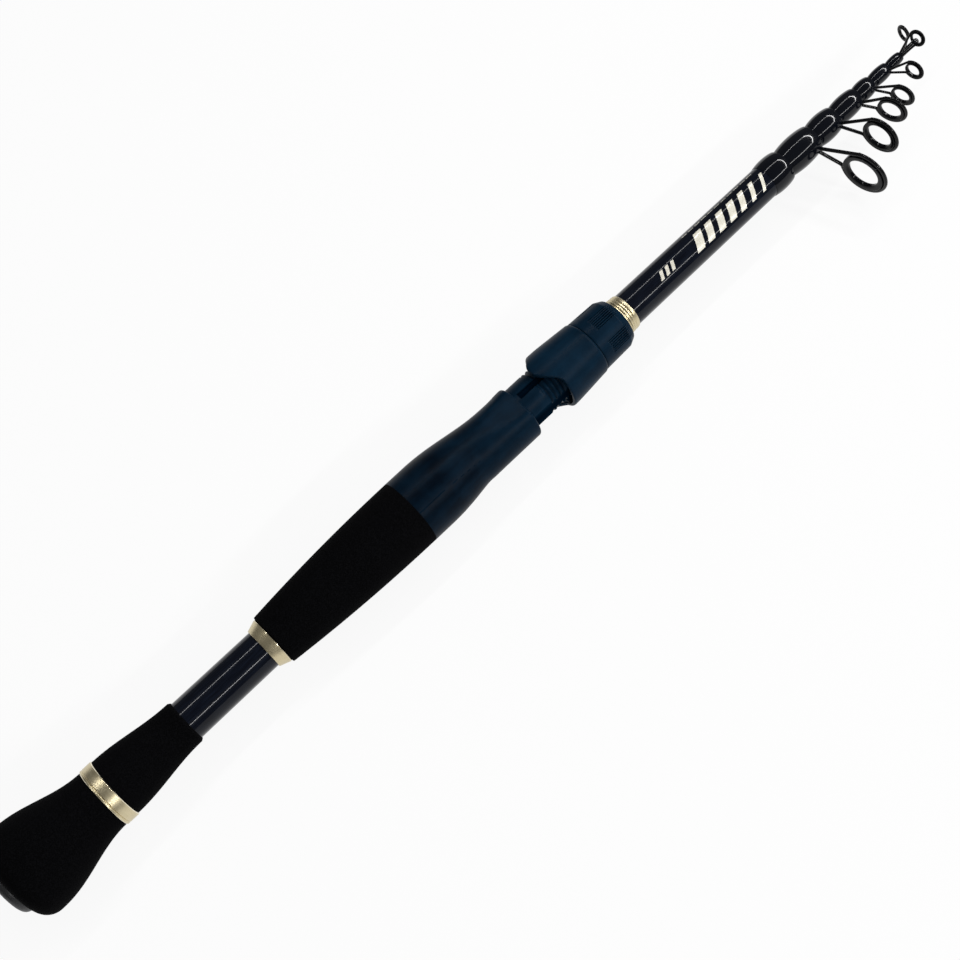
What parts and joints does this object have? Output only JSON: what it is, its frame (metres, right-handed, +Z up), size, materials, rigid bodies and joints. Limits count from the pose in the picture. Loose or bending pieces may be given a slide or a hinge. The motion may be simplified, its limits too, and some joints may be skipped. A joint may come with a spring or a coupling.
{
  "type": "telescopic fishing rod",
  "caption": "Telescopic spinning rod pushed in to its short length, with foam grips, a screw-down reel seat and wire line guides at the front of the sections.",
  "frame": {"origin": "on the surface that the rod lies on, under the middle of its footprint", "axes": "+X along the rod towards its tip, -Y the line side with the guides and the reel foot bed, +Z up"},
  "size_m": [0.4446, 0.0492, 0.034],
  "materials": {
    "blank": "glossy clear-coated dark blue-black glass-carbon blank",
    "wrap": "black thread under a thick clear epoxy coat",
    "foam": "matt black EVA foam",
    "seat": "satin blue-black moulded nylon",
    "gold": "satin champagne-gold anodised aluminium with bright edges",
    "cap": "satin black moulded nylon",
    "tape": "paper tape under epoxy",
    "pad": "soft black foam disc",
    "wire": "gloss black coated steel wire",
    "ceramic": "polished black ceramic"
  },
  "bodies": {
    "handle": {"butt_section": "blank", "wrap_1": "wrap", "butt_ferrule": "cap", "butt_knob": "foam", "butt_ring": "gold", "rear_grip": "foam", "grip_ring": "gold", "fore_grip": "foam", "reel_seat": "seat", "rear_shim": "tape", "front_shim": "tape", "winding_check": "gold"},
    "cap_pad": {"cap_pad": "pad"},
    "butt_cap": {"butt_cap": "cap"},
    "sliding_hood": {"sliding_hood": "seat"},
    "lock_nut": {"lock_nut": "seat"},
    "section_2": {"section_2": "blank", "wrap_2": "wrap", "guide_frame_1": "wire", "guide_ring_1": "ceramic"},
    "section_3": {"section_3": "blank", "wrap_3": "wrap", "guide_frame_2": "wire", "guide_ring_2": "ceramic"},
    "section_4": {"section_4": "blank", "wrap_4": "wrap", "guide_frame_3": "wire", "guide_ring_3": "ceramic"},
    "section_5": {"section_5": "blank", "wrap_5": "wrap", "guide_frame_4": "wire", "guide_ring_4": "ceramic"},
    "section_6": {"section_6": "blank", "wrap_6": "wrap", "guide_frame_5": "wire", "guide_ring_5": "ceramic"},
    "section_7": {"section_7": "blank", "wrap_7": "wrap", "guide_frame_6": "wire", "guide_ring_6": "ceramic"},
    "tip_section": {"tip_section": "blank", "tip_top_frame": "wire", "tip_top_ring": "ceramic"}
  },
  "joints": [
    {"name": "hood_slide", "type": "slide", "parent": "handle", "child": "sliding_hood", "axis": [-1, 0, 0], "range_m": [0, 0.008]},
    {"name": "nut_turn", "type": "hinge", "parent": "sliding_hood", "child": "lock_nut", "pos_m": [0.04355, 0.00764, 0.017], "axis": [-1, 0, 0], "range_deg": [0, 1440]},
    {"name": "pad_slide", "type": "slide", "parent": "handle", "child": "cap_pad", "axis": [-1, 0, 0], "range_m": [0, 0.009]},
    {"name": "cap_unscrew", "type": "hinge", "parent": "cap_pad", "child": "butt_cap", "pos_m": [-0.22145, 0.00764, 0.017], "axis": [-1, 0, 0], "range_deg": [0, 2160]},
    {"name": "section_2_draw", "type": "slide", "parent": "handle", "child": "section_2", "axis": [1, 0, 0], "range_m": [0, 0.27959]},
    {"name": "section_3_draw", "type": "slide", "parent": "section_2", "child": "section_3", "axis": [1, 0, 0], "range_m": [0, 0.27959]},
    {"name": "section_4_draw", "type": "slide", "parent": "section_3", "child": "section_4", "axis": [1, 0, 0], "range_m": [0, 0.27959]},
    {"name": "section_5_draw", "type": "slide", "parent": "section_4", "child": "section_5", "axis": [1, 0, 0], "range_m": [0, 0.27959]},
    {"name": "section_6_draw", "type": "slide", "parent": "section_5", "child": "section_6", "axis": [1, 0, 0], "range_m": [0, 0.27959]},
    {"name": "section_7_draw", "type": "slide", "parent": "section_6", "child": "section_7", "axis": [1, 0, 0], "range_m": [0, 0.27959]},
    {"name": "tip_section_draw", "type": "slide", "parent": "section_7", "child": "tip_section", "axis": [1, 0, 0], "range_m": [0, 0.27959]}
  ],
  "couplings": [
    {"joint": "nut_turn", "follows": "hood_slide", "rad_per_m": 3141.6},
    {"joint": "cap_unscrew", "follows": "pad_slide", "rad_per_m": 4188.8}
  ]
}
